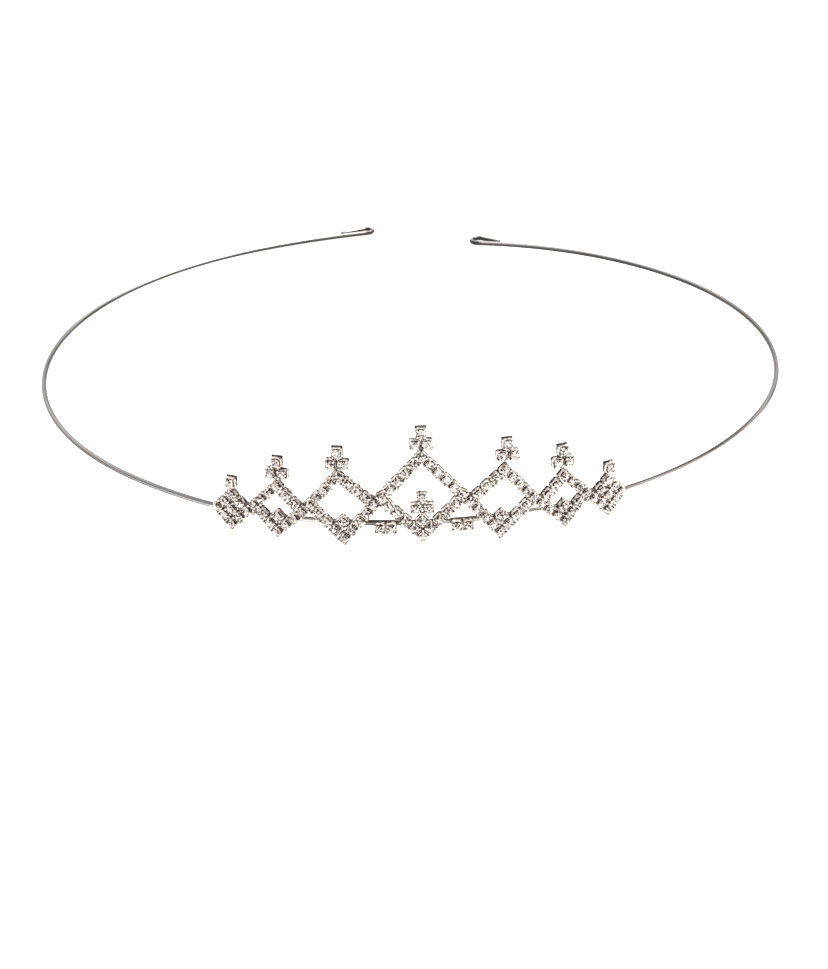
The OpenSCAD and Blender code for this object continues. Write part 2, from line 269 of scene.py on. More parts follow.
def pair(point):
    """Two stones side by side around a point."""
    half = Vector((PAIR_HALF / MM_PER_DEG, 0))
    return [point - half, point + half]


def trefoil():
    """The three stones inside the foot of the middle diamond."""
    return pair(Vector((0, TREFOIL_H))) + [Vector((0, TREFOIL_H + TREFOIL_TOP_RISE))]


def middle_field():
    """Every stone of the middle diamond and of the trefoil in it."""
    half = [*between(top_of(0), crossing(0), CROSSINGS[0][2]), crossing(0), foot(0)]
    half += between(foot(0), bottom_of(0), FEET[0][2])
    return [top_of(0), bottom_of(0), corner_fill(0), *half, *map(flip, half), *trefoil()]


def open_field(i):
    """Every stone of an open diamond beside the middle one."""
    return [
        *(top_of(i), bottom_of(i), corner_fill(i), crossing(i), foot(i)),
        *between(top_of(i), crossing(i - 1), CROSSINGS[i - 1][4]),
        *between(crossing(i - 1), bottom_of(i), CROSSINGS[i - 1][3]),
        *between(top_of(i), crossing(i), CROSSINGS[i][2]),
        *between(foot(i), bottom_of(i), FEET[i][2]),
    ]


def end_field():
    """The stones of the solid end diamond, apart from the shared one."""
    top, bottom = top_of(3), bottom_of(3)
    corner = END_MIDDLE + Vector((END_REACH / MM_PER_DEG, 0))
    edges = [(p + q) / 2 for p in (top, bottom) for q in (corner, crossing(2))]
    return [top, bottom, corner, END_MIDDLE, *edges]


def finial_foot(i, side):
    """The middle of a finial's pair, or the single stone of an end finial."""
    left_out, left_up, right_out, right_up = FINIAL_LEAN[i]
    out, up = (left_out, left_up) if side == "left" else (right_out, right_up)
    return top_of(i) + Vector((out, PAIR_RISE + up))


def finial(i, side):
    """A finial's pair of stones and its top stone, drawn on the right side."""
    middle = finial_foot(i, side)
    return [*pair(middle), middle + Vector((0, TOP_RISE))]


def links(side):
    """The two stones low on the band, beside the middle diamond."""
    return [
        Vector(((LINK_ALONG[side] + k * END_PITCH / 2) / MM_PER_DEG, LINK_H)) for k in (-1, 1)
    ]


def stone_places():
    """Every CAD stone node with the places of its stones."""
    places = {"stones_centre": middle_field()}
    for word, point in zip(("left", "right", "top"), finial(0, "right")):
        places[f"finial_centre_{word}"] = [point]
    for side, turn in SIDES.items():
        for i, where in enumerate(("inner", "outer"), start=1):
            places[f"stones_{where}_{side}"] = [turn(p) for p in open_field(i)]
            for word, point in zip(("inside", "outside", "top"), finial(i, side)):
                places[f"finial_{where}_{side}_{word}"] = [turn(point)]
        places[f"stones_end_{side}"] = [turn(p) for p in end_field()]
        places[f"stones_link_{side}"] = links(side)
        places[f"finial_end_{side}"] = [turn(finial_foot(3, side))]
    return places


PLACES = stone_places()
ALL_STONES = [point for points in PLACES.values() for point in points]
CHAIN_STONES = [p for node, points in PLACES.items() if "finial" not in node for p in points]
# The nodes whose one stone tops a finial
TOP_NODES = [node for node in PLACES if "finial" in node and ("top" in node or "end" in node)]


def seat_of(point, turn=0.0, out=0.0):
    """Where a cup stands: local Z out of the crown, local X along the chain at that turn."""
    return (
        SEAT
        @ Matrix.Rotation(math.radians(point.x), 4, "Z")
        @ Matrix.Translation(Vector((0, -(CUP_BACK_R + out), point.y)) * MM)
        @ Matrix.Rotation(math.pi / 2, 4, "X")
        @ Matrix.Rotation(turn, 4, "Z")
    )


def flat(point):
    """A place unrolled onto the crown's face, in millimetres."""
    return Vector((point.x * MM_PER_DEG, point.y))


def cup_turn(point):
    """The direction from a chain's stone to its nearest neighbour. Finials have level cups."""
    if point not in CHAIN_STONES or point == trefoil()[2]:
        return 0.0
    others = [q for q in CHAIN_STONES if (q - point).length > 0.01]
    step = min((flat(q) - flat(point) for q in others), key=lambda s: s.length)
    return math.atan2(step.y, step.x)


def soldered_pairs():
    """Every two neighbouring stones whose cups a bar of solder joins."""
    pairs = []
    for k, p in enumerate(ALL_STONES):
        for q in ALL_STONES[k + 1 :]:
            if (flat(p) - flat(q)).length < SOLDER_REACH:
                pairs.append((p, q))
    return pairs


def solder_blobs():
    """The seat of each blob of solder with its half length, half width and half thickness."""
    blobs = []
    # Bars between neighbouring cups
    for p, q in soldered_pairs():
        step = flat(q) - flat(p)
        seat = seat_of((p + q) / 2, math.atan2(step.y, step.x), BAR_OUT)
        blobs.append((seat, (step.length / 2 - CUP_HALF + BAR_INTO, *BAR_HALVES)))
    # Stems from the top of each diamond up to its finial
    for i in range(4):
        for side, turn in SIDES.items():
            low, high = turn(top_of(i)), turn(finial_foot(i, side))
            seat = seat_of((low + high) / 2, math.pi / 2, STEM_OUT)
            blobs.append((seat, ((high.y - low.y) / 2, *STEM_HALVES)))
    # Fillets between the wire and the cups in front of it
    for p in ALL_STONES:
        if abs(p.y) < CUP_HALF:
            height = max(-FILLET_RISE, min(FILLET_RISE, p.y))
            blobs.append((seat_of(Vector((p.x, height)), 0.0, FILLET_OUT), FILLET_HALVES))
    return blobs


# The wire's path


def outward(heading):
    """The outer side of a bend where the wire has that heading in degrees."""
    return Vector((math.sin(math.radians(heading)), -math.cos(math.radians(heading))))


def bend_points(loop):
    """How many points of the path the bend of an end loop takes."""
    return round((180 + loop[2]) / LOOP_STEP)


def arm_path(rows, loop, step):
    """Points from the crown's middle to the cut end of one arm, on its right-hand side."""
    points, middle, heading, last_r = [], Vector((0, 0)), 0.0, rows[0][0]
    for r, turn in rows:
        middle = middle + (last_r - r) * outward(heading)
        count = max(2, round(math.radians(turn) * r / step))
        points += [middle + r * outward(heading + turn * k / count) for k in range(count)]
        heading, last_r = heading + turn, r
    loop_r, tail, tail_turn = loop
    end = middle + last_r * outward(heading)
    centre = end + loop_r * outward(heading)
    sweep = 180 + tail_turn
    count = bend_points(loop)
    for k in range(count):
        angle = math.radians(heading + 90 - sweep * k / count)
        points.append(centre + loop_r * Vector((math.cos(angle), math.sin(angle))))
    last = math.radians(heading - 90 - tail_turn)
    start = centre + loop_r * Vector((math.cos(last), math.sin(last)))
    ahead = Vector((math.sin(last), -math.cos(last)))
    return points + [start + ahead * (share * tail - rest) for share, rest in TAIL_STOPS]


def painted_light_at(point):
    """The direction of the side with the painted highlight, and the painted shade, at a point of
    the wire.
    """
    azimuth = math.degrees(math.atan2(point.x, -point.y))
    rows = LEFT_PAINTED_LIGHT if azimuth < 0 else RIGHT_PAINTED_LIGHT
    for (a, *low), (b, *high) in zip(rows, rows[1:]):
        if abs(azimuth) <= b:
            break
    share = (abs(azimuth) - a) / (b - a)
    lean, painted_shade = (p + (q - p) * share for p, q in zip(low, high))
    side = outward(azimuth) * math.sin(math.radians(lean))
    return (side.x, side.y, math.cos(math.radians(lean))), painted_shade


def band_painted_light(points):
    """The painted light direction and the painted shade at every point of the whole wire."""
    polished, painted_shade = map(list, zip(*(painted_light_at(p) for p in points)))
    left, right = (
        [TAIL_PAINTED_SHADE] * len(TAIL_STOPS) + [BEND_PAINTED_SHADE] * bend_points(loop)
        for loop in (LEFT_LOOP, RIGHT_LOOP)
    )
    return polished, left + painted_shade[len(left) : -len(right)] + right[::-1]


def band_path(step):
    """The whole wire from the left cut end to the right one, and its girth at each point."""
    right = arm_path(RIGHT_ARM, RIGHT_LOOP, step)
    left = [flip(p) for p in arm_path(LEFT_ARM, LEFT_LOOP, step)][1:]
    points = left[::-1] + right
    girth = [1.0] * len(points)
    for k, share in enumerate(reversed(CUT_END)):
        girth[k] = girth[-1 - k] = share
    return points, girth


# Helpers for meshes and pieces


def piece_of(name, mesh):
    """An object at the origin for a finished mesh."""
    piece = bpy.data.objects.new(name, mesh)
    bpy.context.scene.collection.objects.link(piece)
    return piece


def mesh_of(name, shape):
    """A mesh from a bmesh, with its faces turned outwards."""
    bmesh.ops.recalc_face_normals(shape, faces=shape.faces)
    mesh = bpy.data.meshes.new(name)
    shape.to_mesh(mesh)
    shape.free()
    return mesh


def skin(shape, lower, upper):
    """Faces between two closed rings of vertices."""
    for k in range(len(lower)):
        j = (k + 1) % len(lower)
        shape.faces.new((lower[k], lower[j], upper[j], upper[k]))


def round_edges(shape, offset):
    """Rounds every edge of a shape by that many millimetres."""
    bmesh.ops.bevel(
        shape, geom=shape.edges[:], offset=offset * MM, segments=2, affect="EDGES", profile=0.6
    )


def store_rows(mesh, name, rows):
    """Stores a direction, a turn or a size at each point of a mesh."""
    column = mesh.attributes.new(name, "FLOAT_VECTOR", "POINT")
    column.data.foreach_set("vector", [v for row in rows for v in row])


def grown(name, source, tree, values):
    """Runs a node tree on a source mesh and gives the result back as a plain mesh piece."""
    holder = piece_of(f"{name}_source", source)
    modifier = holder.modifiers.new(name, "NODES")
    modifier.node_group = tree
    for item in tree.interface.items_tree:
        if item.in_out == "INPUT" and item.name in values:
            modifier[item.identifier] = values[item.name]
    bpy.context.view_layer.update()
    depsgraph = bpy.context.evaluated_depsgraph_get()
    mesh = bpy.data.meshes.new_from_object(
        holder.evaluated_get(depsgraph), preserve_all_data_layers=True, depsgraph=depsgraph
    )
    holder.modifiers.clear()
    bpy.data.objects.remove(holder)
    if not mesh.polygons:
        raise RuntimeError(f"{name} came out empty")
    mesh.name = name
    return piece_of(name, mesh)


def repeated(name, seats, shape_mesh, tree, spread=None, seed=1):
    """A piece made of one shape on many seats, stretched by the spread at each."""
    source = bpy.data.meshes.new(f"{name}_points")
    source.from_pydata([seat.translation for seat in seats], [], [])
    store_rows(source, "turn", [seat.to_euler() for seat in seats])
    store_rows(source, "spread", spread or [(1, 1, 1)] * len(seats))
    shape = piece_of(f"{name}_shape", shape_mesh)
    piece = grown(name, source, tree, {"Shape": shape, "Seed": seed})
    bpy.data.objects.remove(shape)
    return piece


# Helpers for node trees


def linear(hex_colour):
    """An sRGB hex colour as linear RGBA."""
    channels = [int(hex_colour[k : k + 2], 16) / 255 for k in (1, 3, 5)]
    return [c / 12.92 if c <= 0.04045 else ((c + 0.055) / 1.055) ** 2.4 for c in channels] + [1]


def output_of(node, name=None):
    """The first usable output of a node, or the one with that name."""
    return next(s for s in node.outputs if s.enabled and name in (None, s.name))


def wire_up(tree, node, inputs):
    """Sets a node's own sockets from values, or links them from nodes or from their outputs."""
    for key, value in inputs.items():
        if isinstance(key, int):
            socket = node.inputs[key]
        else:
            socket = next(s for s in node.inputs if s.name == key and s.enabled)
        if isinstance(value, bpy.types.Node):
            value = output_of(value)
        if isinstance(value, bpy.types.NodeSocket):
            tree.links.new(value, socket)
        else:
            socket.default_value = value


def add_node(tree, kind, inputs=None, **settings):
    """Adds a node with its settings and its inputs."""
    made = tree.nodes.new(kind)
    for name, value in settings.items():
        setattr(made, name, value)
    wire_up(tree, made, inputs or {})
    return made


def set_stops(ramp, stops):
    """Spreads hex colours over a colour ramp, each at its own position."""
    while len(ramp.elements) < len(stops):
        ramp.elements.new(0.5)
    for element, (place, colour) in zip(ramp.elements, stops):
        element.position = place
        element.color = linear(colour)


def new_tree(name, inputs):
    """A geometry node tree with a Geometry input, these named inputs and a Geometry output."""
    tree = bpy.data.node_groups.new(name, "GeometryNodeTree")
    tree.interface.new_socket("Geometry", in_out="INPUT", socket_type="NodeSocketGeometry")
    for label, kind in inputs.items():
        tree.interface.new_socket(label, in_out="INPUT", socket_type=kind)
    tree.interface.new_socket("Geometry", in_out="OUTPUT", socket_type="NodeSocketGeometry")
    return tree, add_node(tree, "NodeGroupInput")


def finish_tree(tree, geometry, material, smooth):
    """Ends a tree in realized geometry with its shading and its material."""
    inputs = {"Geometry": geometry, "Shade Smooth": smooth}
    shaded = add_node(tree, "GeometryNodeSetShadeSmooth", inputs)
    real = add_node(tree, "GeometryNodeRealizeInstances", {"Geometry": shaded})
    painted = add_node(tree, "GeometryNodeSetMaterial", {"Geometry": real, "Material": material})
    add_node(tree, "NodeGroupOutput", {"Geometry": painted})
    return tree


def material_of(name):
    """An empty node material and its shader."""
    material = bpy.data.materials.new(name)
    material.use_nodes = True
    tree = material.node_tree
    tree.nodes.clear()
    shader = add_node(tree, "ShaderNodeBsdfPrincipled")
    add_node(tree, "ShaderNodeOutputMaterial", {"Surface": shader})
    return material, tree, shader


# Finishes


def plated_wire(look):
    """Nickel-plated drawn spring wire, with a painted highlight on the side that faces its painted
    light direction and painted shade on the rest.
    """
    material, tree, shader = material_of("plated_drawn_wire")
    drawn, shine, painted_shade = (
        add_node(tree, "ShaderNodeAttribute", attribute_name=name)
        for name in ("drawn", "shine", "painted_shade")
    )
    # Drawing lines are about 0.05 mm apart; here 0.12 mm, so that they show at all
    inputs = {"Vector": output_of(drawn, "Vector"), "Scale": 1.0}
    lines = add_node(tree, "ShaderNodeTexNoise", inputs)
    # Painted light: the side facing the painted light direction gets the light tones, the rest the
    # dark ones, all darker where the painted shade is high
    inputs = {0: output_of(shine, "Fac"), 1: output_of(painted_shade, "Fac")}
    lit_share = add_node(tree, "ShaderNodeMath", inputs, operation="SUBTRACT")
    inputs = {0: lines, 1: 0.2, 2: lit_share}
    mixed = add_node(tree, "ShaderNodeMath", inputs, operation="MULTIPLY_ADD")
    tones = add_node(tree, "ShaderNodeValToRGB", {"Fac": mixed})
    # Tones from the darkest painted shade up to the painted highlight
    stops = [
        (0.3, look.wire_darkest_shade),
        (0.5, look.wire_shade),
        (0.7, look.wire_middle),
        (0.9, look.wire_light),
    ]
    set_stops(tones.color_ramp, stops)
    inputs = {"Value": lines, "To Min": 0.22, "To Max": 0.38}
    rough = add_node(tree, "ShaderNodeMapRange", inputs)
    inputs = {"Strength": 0.05, "Distance": 0.00002, "Height": lines}
    bump = add_node(tree, "ShaderNodeBump", inputs)
    inputs = {"Base Color": tones, "Metallic": 1.0, "Roughness": rough, "Normal": bump}
    wire_up(tree, shader, inputs)
    return material


def plated_cup(look):
    """Nickel-plated stamped brass: painted shade low in the cup, lighter prongs and rim, random
    patches of tarnish.
    """
    material, tree, shader = material_of("plated_stamped_brass")
    painted_light_level = add_node(tree, "ShaderNodeAttribute", attribute_name="painted_light_level")
    place = output_of(add_node(tree, "ShaderNodeTexCoord"), "Object")
    # Stamping marks and tarnish lie in patches, with soft specks of the same width in them
    inputs = {"Vector": place, "Scale": 1 / (TARNISH_WIDTH * MM)}
    patches = add_node(tree, "ShaderNodeTexVoronoi", inputs)
    patch = add_node(tree, "ShaderNodeSeparateColor", {"Color": output_of(patches, "Color")})
    specks = add_node(tree, "ShaderNodeTexNoise", {**inputs, "Detail": 3.0})
    # The painted light level puts painted shade low on the walls and in the bore and lighter tones
    # at the rim and prongs; the patches vary it at random
    inputs = {0: patch, 1: 1.1, 2: output_of(painted_light_level, "Fac")}
    patched_light_level = add_node(tree, "ShaderNodeMath", inputs, operation="MULTIPLY_ADD")
    inputs = {0: specks, 1: 0.3, 2: patched_light_level}
    mixed = add_node(tree, "ShaderNodeMath", inputs, operation="MULTIPLY_ADD")
    tones = add_node(tree, "ShaderNodeValToRGB", {"Fac": mixed})
    stops = [(0.3, look.cup_shade), (0.6, look.cup_middle), (0.95, look.cup_light)]
    set_stops(tones.color_ramp, stops)
    inputs = {"Value": mixed, "To Min": 0.42, "To Max": 0.2}
    rough = add_node(tree, "ShaderNodeMapRange", inputs)
    inputs = {"Strength": 0.25, "Distance": 0.00004, "Height": specks}
    bump = add_node(tree, "ShaderNodeBump", inputs)
    inputs = {"Base Color": tones, "Metallic": 1.0, "Roughness": rough, "Normal": bump}
    wire_up(tree, shader, inputs)
    return material


def soft_solder(name, shade, light):
    """Tin solder: duller than the cups, with the frosty grain of cooled metal."""
    material, tree, shader = material_of(name)
    place = output_of(add_node(tree, "ShaderNodeTexCoord"), "Object")
    inputs = {"Vector": place, "Scale": 1 / (SOLDER_GRAIN * MM)}
    grain = add_node(tree, "ShaderNodeTexNoise", inputs)
    tones = add_node(tree, "ShaderNodeValToRGB", {"Fac": grain})
    set_stops(tones.color_ramp, [(0.35, shade), (0.65, light)])
    inputs = {"Strength": 0.4, "Distance": 0.00003, "Height": grain}
    bump = add_node(tree, "ShaderNodeBump", inputs)
    inputs = {"Base Color": tones, "Metallic": 1.0, "Roughness": 0.34, "Normal": bump}
    wire_up(tree, shader, inputs)
    return material


def foiled_crystal(look):
    """Machine-cut glass with a silvered back: each facet is painted white, beige or dark, as
    painted reflections.
    """
    material, tree, shader = material_of("foil_backed_crystal")
    tone = add_node(tree, "ShaderNodeAttribute", attribute_name="facet")
    place = output_of(add_node(tree, "ShaderNodeTexCoord"), "Object")
    # The back facets show through the front ones as small painted reflections
    inputs = {"Vector": place, "Scale": FLASHES_PER_METRE}
    cells = add_node(tree, "ShaderNodeTexVoronoi", inputs)
    cell = add_node(tree, "ShaderNodeSeparateColor", {"Color": output_of(cells, "Color")})
    inputs = {0: output_of(tone, "Fac"), 1: 0.35, 2: cell}
    summed = add_node(tree, "ShaderNodeMath", inputs, operation="MULTIPLY_ADD")
    broken = add_node(tree, "ShaderNodeMath", {0: summed}, operation="FRACT")
    tones = add_node(tree, "ShaderNodeValToRGB", {"Fac": broken})
    tones.color_ramp.interpolation = "CONSTANT"
    stops = [
        (0.0, look.facet_black),
        (0.3, look.facet_brown),
        (0.36, look.facet_beige),
        (0.44, look.facet_pale),
        (0.58, look.facet_white),
    ]
    set_stops(tones.color_ramp, stops)
    inputs = {
        "Base Color": tones,
        "Metallic": 0.0,
        "Roughness": 0.1,
        "IOR": 1.58,
        "Coat Weight": 0.15,
        "Coat Roughness": 0.02,
    }
    wire_up(tree, shader, inputs)
    return material


def studio_table(look, glow):
    """Opal acrylic light table that the tiara lies on: matt, white and softly lit from below."""
    material, tree, shader = material_of("opal_acrylic_table")
    place = output_of(add_node(tree, "ShaderNodeTexCoord"), "Object")
    # Faint clouds in the acrylic
    inputs = {"Vector": place, "Scale": CLOUDS_PER_METRE}
    clouds = add_node(tree, "ShaderNodeTexNoise", inputs)
    tones = add_node(tree, "ShaderNodeValToRGB", {"Fac": clouds})
    set_stops(tones.color_ramp, [(0.3, look.table_shade), (0.7, look.table_light)])
    inputs = {
        "Base Color": tones,
        "Roughness": 0.9,
        "Emission Color": tones,
        "Emission Strength": glow,
    }
    wire_up(tree, shader, inputs)
    return material


# Single shapes that are repeated, in metres: local Z out of the crown


def cup_outline(half, corner):
    """A square with rounded corners, as (place, whether at a corner) from the first corner."""
    swing = math.pi / 4 - math.acos(half / corner)
    outline = []
    for quarter in range(4):
        turn = Matrix.Rotation(quarter * math.pi / 2, 2)
        for k in (-1, 0, 1):
            angle = math.pi / 4 + swing * k
            outline.append((turn @ Vector((math.cos(angle), math.sin(angle))) * corner, True))
        for x in (0.3, -0.3):
            outline.append((turn @ Vector((x * half, half)), False))
    return outline


def cup_mesh(sizes):
    """A stamped square cup: four corner prongs over the stone, lower walls between them."""
    shape = bmesh.new()
    painted_light_level = shape.verts.layers.float.new("painted_light_level")
    rim = CUP_DEPTH - RIM_DROP
    dip = sizes.scallop / MM

    def ring_of(places):
        """A row of vertices, each with its painted light level."""
        row = []
        for place, light_level in places:
            vert = shape.verts.new(place * MM)
            vert[painted_light_level] = light_level
            row.append(vert)
        return row

    # Distance from the side, height at a corner and between corners, painted light level at both:
    # painted shade down the walls, lighter towards the rim
    walls = [
        (0.1, 0.0, 0.0, -0.1, -0.1),
        (0.0, 0.04, 0.04, -0.1, -0.1),
        (-0.07, 0.12, 0.12, -0.5, -0.5),
        (-0.07, 0.35, 0.35, -0.4, -0.4),
        (0.0, 0.5, 0.5, -0.25, -0.25),
        (0.0, 0.72, 0.72, -0.15, -0.15),
        (0.0, 0.8, 0.78, 0.25, 0.1),
        (0.0, rim, rim - dip, 0.4, 0.25),
        (0.08, rim, rim - dip, 0.3, 0.1),
    ]
    rings = []
    for inset, high, low, near, far in walls:
        outline = cup_outline(CUP_HALF - inset, CUP_CORNER - inset)
        places = [
            (p.to_3d() + Vector((0, 0, high if corner else low)), near if corner else far)
            for p, corner in outline
        ]
        rings.append(ring_of(places))
    bore = [p.normalized() * CUP_BORE for p, _ in cup_outline(CUP_HALF, CUP_CORNER)]
    # The bore gets painted shade, darkest at its floor
    for height, light_level in ((rim - dip, 0.0), (CUP_FLOOR, -0.6)):
        rings.append(ring_of([(Vector((p.x, p.y, height)), light_level) for p in bore]))
    shape.faces.new(rings[0])
    shape.faces.new(rings[-1])
    for lower, upper in zip(rings, rings[1:]):
        skin(shape, lower, upper)
    # Each prong: distance from the axis along the diagonal, height, half width
    half = sizes.prong_width / MM / 2
    tip = CUP_BORE - sizes.prong_reach / MM
    profile = [
        (CUP_CORNER + 0.02, CUP_DEPTH - 0.5, half),
        (CUP_CORNER + 0.02, CUP_DEPTH - 0.04, half),
        (CUP_CORNER - 0.12, CUP_DEPTH + 0.1, half * 0.95),
        (tip, CUP_DEPTH + 0.15, half * 0.6),
        (tip, CUP_DEPTH + 0.07, half * 0.6),
        (CUP_BORE + 0.04, CUP_DEPTH - 0.16, half),
        (CUP_BORE + 0.04, CUP_DEPTH - 0.5, half),
    ]
    for quarter in range(4):
        turn = Matrix.Rotation(math.pi / 4 + quarter * math.pi / 2, 4, "Z")
        flanks = [
            ring_of([(turn @ Vector((r, sign * width, z)), PRONG_LIGHT_LEVEL) for r, z, width in profile])
            for sign in (-1, 1)
        ]
        for flank in flanks:
            shape.faces.new(flank)
        skin(shape, *flanks)
    return mesh_of("cup_shape", shape)


def stone_mesh(sizes):
    """A cut stone: table, star, kite and upper facets, a thin girdle and a pointed back."""
    shape = bmesh.new()
    r = sizes.stone_width / MM / 2
    low = CUP_DEPTH - GIRDLE_SINK - GIRDLE
    girdle = low + GIRDLE
    crown = sizes.crown_height / MM

    def ring_of(count, radius, z, start=0.0):
        """Vertices evenly around the stone."""
        angles = [(start + i) * 2 * math.pi / count for i in range(count)]
        places = [Vector((radius * math.cos(a), radius * math.sin(a), z)) for a in angles]
        return [shape.verts.new(place * MM) for place in places]

    point = shape.verts.new(Vector((0, 0, low - PAVILION)) * MM)
    middle = shape.verts.new(Vector((0, 0, girdle + crown)) * MM)
    table = ring_of(8, r * sizes.table_share, girdle + crown)
    star = ring_of(8, r * STAR_SHARE, girdle + crown * 0.5, start=0.5)
    upper = ring_of(16, r, girdle)
    lower = ring_of(16, r, low)
    for i in range(8):
        j = (i + 1) % 8
        shape.faces.new((middle, table[i], table[j]))
        shape.faces.new((table[i], star[i], table[j]))
        shape.faces.new((table[i], star[i - 1], upper[2 * i], star[i]))
        shape.faces.new((star[i], upper[2 * i], upper[2 * i + 1]))
        shape.faces.new((star[i], upper[2 * i + 1], upper[2 * j]))
        shape.faces.new((point, lower[2 * j], lower[2 * i + 1], lower[2 * i]))
    skin(shape, lower, upper)
    return mesh_of("stone_shape", shape)


def lip_mesh(sizes):
    """The dark bar of solder along the top edge of a finial's top cup."""
    shape = bmesh.new()
    middle = Matrix.Translation(Vector((0, CUP_HALF + 0.02, LIP_DEPTH / 2)) * MM)
    span = Matrix.Diagonal((sizes.lip_width, LIP_HEIGHT * MM, LIP_DEPTH * MM, 1))
    bmesh.ops.create_cube(shape, size=1.0, matrix=middle @ span)
    round_edges(shape, LIP_ROUND)
    return mesh_of("lip_shape", shape)


def web_mesh(sizes):
    """The hollowed web of solder that fills the crook above a crossing."""
    shape = bmesh.new()
    half = sizes.web_width / MM / 2
    # The web starts a little inside the top corner of the crossing's cup
    foot_y = (CUP_HALF - 0.06) * 2**0.5 - WEB_SINK
    outline = [(0, foot_y), (half, foot_y + half)]
    for k in range(1, 8):
        angle = math.pi * k / 8
        sag = sizes.web_sag / MM * math.sin(angle)
        outline.append((half * math.cos(angle), foot_y + half - sag))
    outline.append((-half, foot_y + half))
    low, high = CUP_FLOOR - 0.1, CUP_FLOOR + sizes.web_depth / MM
    layers = [[shape.verts.new(Vector((x, y, z)) * MM) for x, y in outline] for z in (low, high)]
    for layer in layers:
        shape.faces.new(layer)
    skin(shape, *layers)
    bmesh.ops.recalc_face_normals(shape, faces=shape.faces)
    round_edges(shape, WEB_ROUND)
    return mesh_of("web_shape", shape)


def blob_mesh():
    """A ball of 1 mm radius, which each blob of solder stretches."""
    shape = bmesh.new()
    bmesh.ops.create_icosphere(shape, subdivisions=2, radius=MM)
    return mesh_of("blob_shape", shape)


# Node trees


def wire_tree(material):
    """Sweeps a round section along the path, with drawing coordinates on its skin."""
    inputs = {"Thickness": "NodeSocketFloat", "Sides": "NodeSocketInt"}
    tree, given = new_tree("wire_along_path", inputs)
    store = "GeometryNodeStoreNamedAttribute"
    path = add_node(tree, "GeometryNodeMeshToCurve", {"Mesh": given.outputs["Geometry"]})
    along = add_node(tree, "GeometryNodeSplineParameter")
    inputs = {"Geometry": path, "Name": "run", "Value": output_of(along, "Length")}
    measured = add_node(tree, store, inputs, data_type="FLOAT", domain="POINT")
    inputs = {0: given.outputs["Thickness"], 1: 0.5}
    radius = add_node(tree, "ShaderNodeMath", inputs, operation="MULTIPLY")
    inputs = {"Resolution": given.outputs["Sides"], "Radius": radius}
    section = add_node(tree, "GeometryNodeCurvePrimitiveCircle", inputs)
    around = add_node(tree, "GeometryNodeSplineParameter")
    inputs = {"Geometry": section, "Name": "ring", "Value": output_of(around, "Factor")}
    ringed = add_node(tree, store, inputs, data_type="FLOAT", domain="POINT")
    girth, run, ring = (
        add_node(tree, "GeometryNodeInputNamedAttribute", {"Name": name}, data_type="FLOAT")
        for name in ("girth", "run", "ring")
    )
    inputs = {"Curve": measured, "Profile Curve": ringed, "Scale": girth, "Fill Caps": True}
    swept = add_node(tree, "GeometryNodeCurveToMesh", inputs)
    # Along the wire one unit is 8 mm, around it 0.12 mm; the ring closes on itself
    angle = add_node(tree, "ShaderNodeMath", {0: ring, 1: 2 * math.pi}, operation="MULTIPLY")
    sine = add_node(tree, "ShaderNodeMath", {0: angle}, operation="SINE")
    cosine = add_node(tree, "ShaderNodeMath", {0: angle}, operation="COSINE")
    place = add_node(tree, "ShaderNodeCombineXYZ", {"X": run, "Y": sine, "Z": cosine})
    inputs = {0: place, 1: DRAWN_SCALE}
    scaled = add_node(tree, "ShaderNodeVectorMath", inputs, operation="MULTIPLY")
    inputs = {"Geometry": swept, "Name": "drawn", "Value": scaled}
    drawn = add_node(tree, store, inputs, data_type="FLOAT_VECTOR", domain="POINT")
    # Painted highlight: how far each point of the skin faces the painted light direction
    inputs = {"Name": "polished"}
    side = add_node(tree, "GeometryNodeInputNamedAttribute", inputs, data_type="FLOAT_VECTOR")
    normal = add_node(tree, "GeometryNodeInputNormal")
    inputs = {0: output_of(normal, "Normal"), 1: side}
    facing = add_node(tree, "ShaderNodeVectorMath", inputs, operation="DOT_PRODUCT")
    inputs = {"Geometry": drawn, "Name": "shine", "Value": output_of(facing, "Value")}
    with_highlight = add_node(tree, store, inputs, data_type="FLOAT", domain="POINT")
    return finish_tree(tree, with_highlight, material, smooth=True)


def cut_stones(tree, stones, seed):
    """Spins each stone in its cup and gives each facet a tone of its own."""
    inputs = {"Min": 0.0, "Max": 2 * math.pi, "Seed": seed}
    spin = add_node(tree, "FunctionNodeRandomValue", inputs, data_type="FLOAT")
    inputs = {"Axis": (0.0, 0.0, 1.0), "Angle": spin}
    about = add_node(tree, "FunctionNodeAxisAngleToRotation", inputs)
    inputs = {"Instances": stones, "Rotation": about, "Local Space": True}
    turned = add_node(tree, "GeometryNodeRotateInstances", inputs)
    real = add_node(tree, "GeometryNodeRealizeInstances", {"Geometry": turned})
    # A random tone for each facet, which picks its painted reflection
    index = add_node(tree, "GeometryNodeInputIndex")
    inputs = {"Min": 0.0, "Max": 1.0, "ID": index, "Seed": seed}
    tone = add_node(tree, "FunctionNodeRandomValue", inputs, data_type="FLOAT")
    inputs = {"Geometry": real, "Name": "facet", "Value": tone}
    store = "GeometryNodeStoreNamedAttribute"
    return add_node(tree, store, inputs, data_type="FLOAT", domain="FACE")


